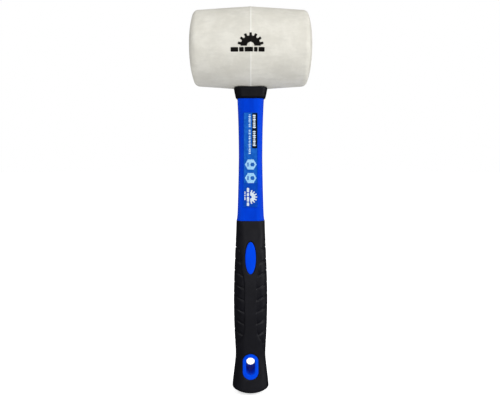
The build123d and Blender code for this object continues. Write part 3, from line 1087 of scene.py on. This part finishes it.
def build_eyelet():
    """The hang hole's lining: a rounded raised lip at each face, and the wall of the hole."""
    angle = full_turn(160)
    upper = np.where(np.sin(angle) >= 0, 1.0, -1.0)
    outer_radius = EYELET_FLANGE_RADIUS - 0.08
    body_radius = EYELET_BODY_RADIUS - 0.05
    lip = [(HANG_HOLE_RADIUS, -2.2)]
    for radius_x, radius_y, centre, start, stop in (
        (0.6, 0.7, HANG_HOLE_RADIUS + 0.6, 180, 90),
        (1.7, 1.0, outer_radius - 1.7, 90, 0),
    ):
        for step in range(10):
            turn = math.radians(start + (stop - start) * step / 9)
            crest = EYELET_PROUD + 0.05 - radius_y
            lip.append((centre + radius_x * math.cos(turn), crest + radius_y * math.sin(turn)))
    lip += [(outer_radius, -EYELET_SINK + 0.1), (body_radius, -EYELET_SINK + 0.1)]
    rings = []
    for side, path in ((-1, lip), (1, lip[::-1])):
        for radius, proud in path:
            share = (radius - HANG_HOLE_RADIUS) / (outer_radius - HANG_HOLE_RADIUS)
            half_straight = HANG_HOLE_HALF_STRAIGHT * (1 - share) + EYELET_FLANGE_HALF_STRAIGHT * share
            x = radius * np.cos(angle)
            z = EYELET_Z + HANG_HOLE_RISE * (1 - share) + radius * np.sin(angle) + upper * half_straight
            surface = front_depth(GRIP_STATIONS, x * 0.6, z)
            knit = 0.3 * np.exp(-((x / 0.35) ** 2)) * (np.sin(angle) < 0) * (proud > -1.0) * (share < 0.5)
            rings.append((x, side * (surface + proud - knit), z))
    waist = []
    for share in (0.1, 0.25, 0.4, 0.5, 0.6, 0.75, 0.9):
        inner, outer = rings[0], rings[-1]
        x, y, z = [outer[i] * (1 - share) + inner[i] * share for i in range(3)]
        draft = HANG_HOLE_DRAFT * (1 - abs(2 * share - 1))
        waist.append((x - draft * np.cos(angle), y, z - draft * np.sin(angle)))
    x, y, z = [np.array([ring[i] for ring in rings + waist]) for i in range(3)]
    mesh = grid_mesh("hang_eyelet", x, y, z, loop=True)
    material = blue_plastic("eyelet_blue", (0.0006, 0.046, 0.62), (0.001, 0.058, 0.68), 0.1)
    new_piece("eyelet_lining", mesh, material, "eyelet_plastic", "hang_eyelet")


# ---------------- the object

build_head()
build_head_mark()
build_collar()
build_resin()
build_jacket()
build_label()
build_grip()
inlay_blue = blue_plastic("inlay_blue", (0.0006, 0.044, 0.62), (0.001, 0.056, 0.70))
build_inlay("inlay_front_dome", "thumb_inlay_front", -1, inlay_blue)
build_inlay("inlay_back_dome", "thumb_inlay_back", 1, inlay_blue)
build_eyelet()
rod = frame["nodes"]["fibreglass_core"]
rod.data.materials.clear()
rod.data.materials.append(glass_fibre())

# ---------------- floor, light and camera

ROOM_BELOW = 1.12  # the strength of the soft light from straight below, and from above
ROOM_ABOVE = 0.44
REFLECTED_STRENGTH = 0.05
FLOOR_RADIUS = 6.0


def build_floor():
    """A wide round table, hidden from bounced and reflected rays: the world lights from below."""
    mesh = bpy.data.meshes.new("floor")
    bm = bmesh.new()
    bmesh.ops.create_circle(bm, cap_ends=True, segments=96, radius=FLOOR_RADIUS)
    bm.to_mesh(mesh)
    bm.free()
    floor = new_object("floor", mesh)
    floor.data.materials.append(pale_floor())
    floor.visible_glossy = False
    floor.visible_diffuse = False


def soft_light(name, place, target, size, watts):
    """A soft rectangular lamp at place, aimed at target."""
    lamp = bpy.data.lights.new(name, "AREA")
    lamp.shape = "RECTANGLE"
    lamp.size, lamp.size_y = size
    lamp.energy = watts
    holder = new_object(name, lamp)
    holder.location = place
    aim = np.array(target) - np.array(place)
    flat = math.hypot(aim[0], aim[1])
    holder.rotation_euler = (math.pi / 2 + math.atan2(aim[2], flat), 0, math.atan2(-aim[0], aim[1]))


build_floor()
middle = (0.0, 0.0, 0.2)
soft_light("key", (1.0, -0.95, 1.0), middle, (0.7, 0.7), 11.0)
soft_light("side", (1.3, -0.35, 0.35), middle, (0.6, 0.9), 5.0)
soft_light("front", (0.1, -1.7, 0.15), middle, (1.2, 1.0), 3.6)
soft_light("fill", (-0.62, -0.75, 0.95), middle, (0.22, 0.22), 3.2)


def studio_world():
    """A soft surround, brighter from below and dimmer in reflections, and a white backdrop."""
    world = bpy.data.worlds.new("studio")
    world.use_nodes = True
    nodes = world.node_tree.nodes
    links = world.node_tree.links
    room = nodes["Background"]
    room.inputs["Color"].default_value = (0.97, 0.98, 1.0, 1)
    place = nodes.new("ShaderNodeTexCoord")
    split = nodes.new("ShaderNodeSeparateXYZ")
    rise = nodes.new("ShaderNodeMapRange")
    rise.inputs["From Min"].default_value = -1.0
    rise.inputs["To Min"].default_value = ROOM_BELOW
    rise.inputs["To Max"].default_value = ROOM_ABOVE
    links.new(place.outputs["Generated"], split.inputs[0])
    links.new(split.outputs["Z"], rise.inputs["Value"])
    links.new(rise.outputs["Result"], room.inputs["Strength"])
    path = nodes.new("ShaderNodeLightPath")
    ray = room
    for kind, color, strength in (
        ("Is Glossy Ray", (0.94, 0.97, 1.0, 1), REFLECTED_STRENGTH),
        ("Is Camera Ray", (1, 1, 1, 1), 1.0),
    ):
        other = nodes.new("ShaderNodeBackground")
        other.inputs["Color"].default_value = color
        other.inputs["Strength"].default_value = strength
        either = nodes.new("ShaderNodeMixShader")
        links.new(path.outputs[kind], either.inputs[0])
        links.new(ray.outputs[0], either.inputs[1])
        links.new(other.outputs[0], either.inputs[2])
        ray = either
    links.new(ray.outputs[0], nodes["World Output"].inputs["Surface"])
    return world


bpy.context.scene.world = studio_world()

CAMERA_ELEVATION = math.radians(4.9)
CAMERA_DISTANCE = 0.468
CAMERA_TARGET = (-0.0005, 0.0, 0.17084)
CAMERA_LENS = 38.88

camera = bpy.data.cameras.new("camera")
camera.lens = CAMERA_LENS
camera.sensor_width = 36.0
camera.clip_start = 0.01
view = new_object("camera", camera)
view.location = (
    CAMERA_TARGET[0],
    CAMERA_TARGET[1] - CAMERA_DISTANCE * math.cos(CAMERA_ELEVATION),
    CAMERA_TARGET[2] + CAMERA_DISTANCE * math.sin(CAMERA_ELEVATION),
)
view.rotation_euler = (math.pi / 2 - CAMERA_ELEVATION, 0, 0)
bpy.context.scene.camera = view
bpy.context.scene.view_settings.view_transform = "Standard"
